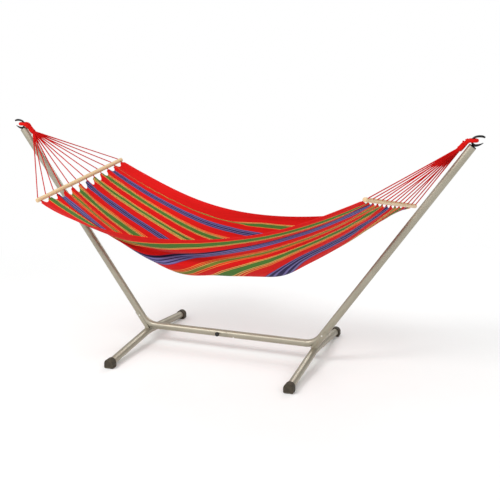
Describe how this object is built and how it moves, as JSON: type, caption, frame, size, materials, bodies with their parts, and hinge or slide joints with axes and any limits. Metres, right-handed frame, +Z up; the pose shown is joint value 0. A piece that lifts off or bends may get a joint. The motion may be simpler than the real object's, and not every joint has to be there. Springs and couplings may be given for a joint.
{
  "type": "hammock on stand",
  "caption": "Free-standing hammock: a striped cloth bed on wooden spreader bars, hung by cord fans from hooks on a bent steel tube stand with arched feet.",
  "frame": {"origin": "on the floor under the middle of the stand, halfway between the hooks and between the foot caps", "axes": "+X along the beam and the length of the bed, +Y across the bed towards the side without the splice knob, +Z up"},
  "size_m": [3.1302, 1.14, 1.485],
  "materials": {
    "tube": "satin",
    "rubber": "matte",
    "hook_black": "satin",
    "plug_plastic": "matte",
    "knob_plastic": "satin",
    "zinc": "satin",
    "button_steel": "satin",
    "wood": "satin",
    "rope": "matte",
    "cloth": "matte"
  },
  "bodies": {
    "stand": {"left_half_frame": "tube", "right_half_frame": "tube", "left_foot_tube": "tube", "right_foot_tube": "tube", "left_saddle": "tube", "right_saddle": "tube", "left_front_foot_cap": "rubber", "left_rear_foot_cap": "rubber", "right_front_foot_cap": "rubber", "right_rear_foot_cap": "rubber", "left_hook": "hook_black", "right_hook": "hook_black", "left_end_plug": "plug_plastic", "right_end_plug": "plug_plastic", "splice_sleeve": "zinc", "splice_weld_nut": "zinc", "snap_spring": "zinc", "left_saddle_bolt": "zinc", "right_saddle_bolt": "zinc", "left_saddle_nut": "zinc", "right_saddle_nut": "zinc", "left_hook_nut": "zinc", "right_hook_nut": "zinc"},
    "hammock": {"left_loop": "rope", "right_loop": "rope", "left_cord_01": "rope", "left_cord_02": "rope", "left_cord_03": "rope", "left_cord_04": "rope", "left_cord_05": "rope", "left_cord_06": "rope", "left_cord_07": "rope", "left_cord_08": "rope", "left_cord_09": "rope", "left_cord_10": "rope", "left_cord_11": "rope", "left_cord_12": "rope", "right_cord_01": "rope", "right_cord_02": "rope", "right_cord_03": "rope", "right_cord_04": "rope", "right_cord_05": "rope", "right_cord_06": "rope", "right_cord_07": "rope", "right_cord_08": "rope", "right_cord_09": "rope", "right_cord_10": "rope", "right_cord_11": "rope", "right_cord_12": "rope", "left_spreader_bar": "wood", "right_spreader_bar": "wood", "hammock_cloth": "cloth"},
    "knob": {"splice_knob": "knob_plastic", "splice_stud": "zinc"},
    "button": {"snap_button": "button_steel"}
  },
  "joints": [
    {"name": "hammock_swing", "type": "hinge", "parent": "stand", "child": "hammock", "pos_m": [0, 0, 1.4536], "axis": [1, 0, 0], "range_deg": [-30, 30]},
    {"name": "splice_knob_turn", "type": "hinge", "parent": "stand", "child": "knob", "pos_m": [-0.07, -0.03, 0.1177], "axis": [0, -1, 0], "continuous": true},
    {"name": "snap_button_press", "type": "slide", "parent": "stand", "child": "button", "axis": [0, 0.9135, 0.4067], "range_m": [0, 0.007], "stiffness_N_per_m": 900, "springref_m": -0.004, "deforming": ["snap_spring"]}
  ]
}
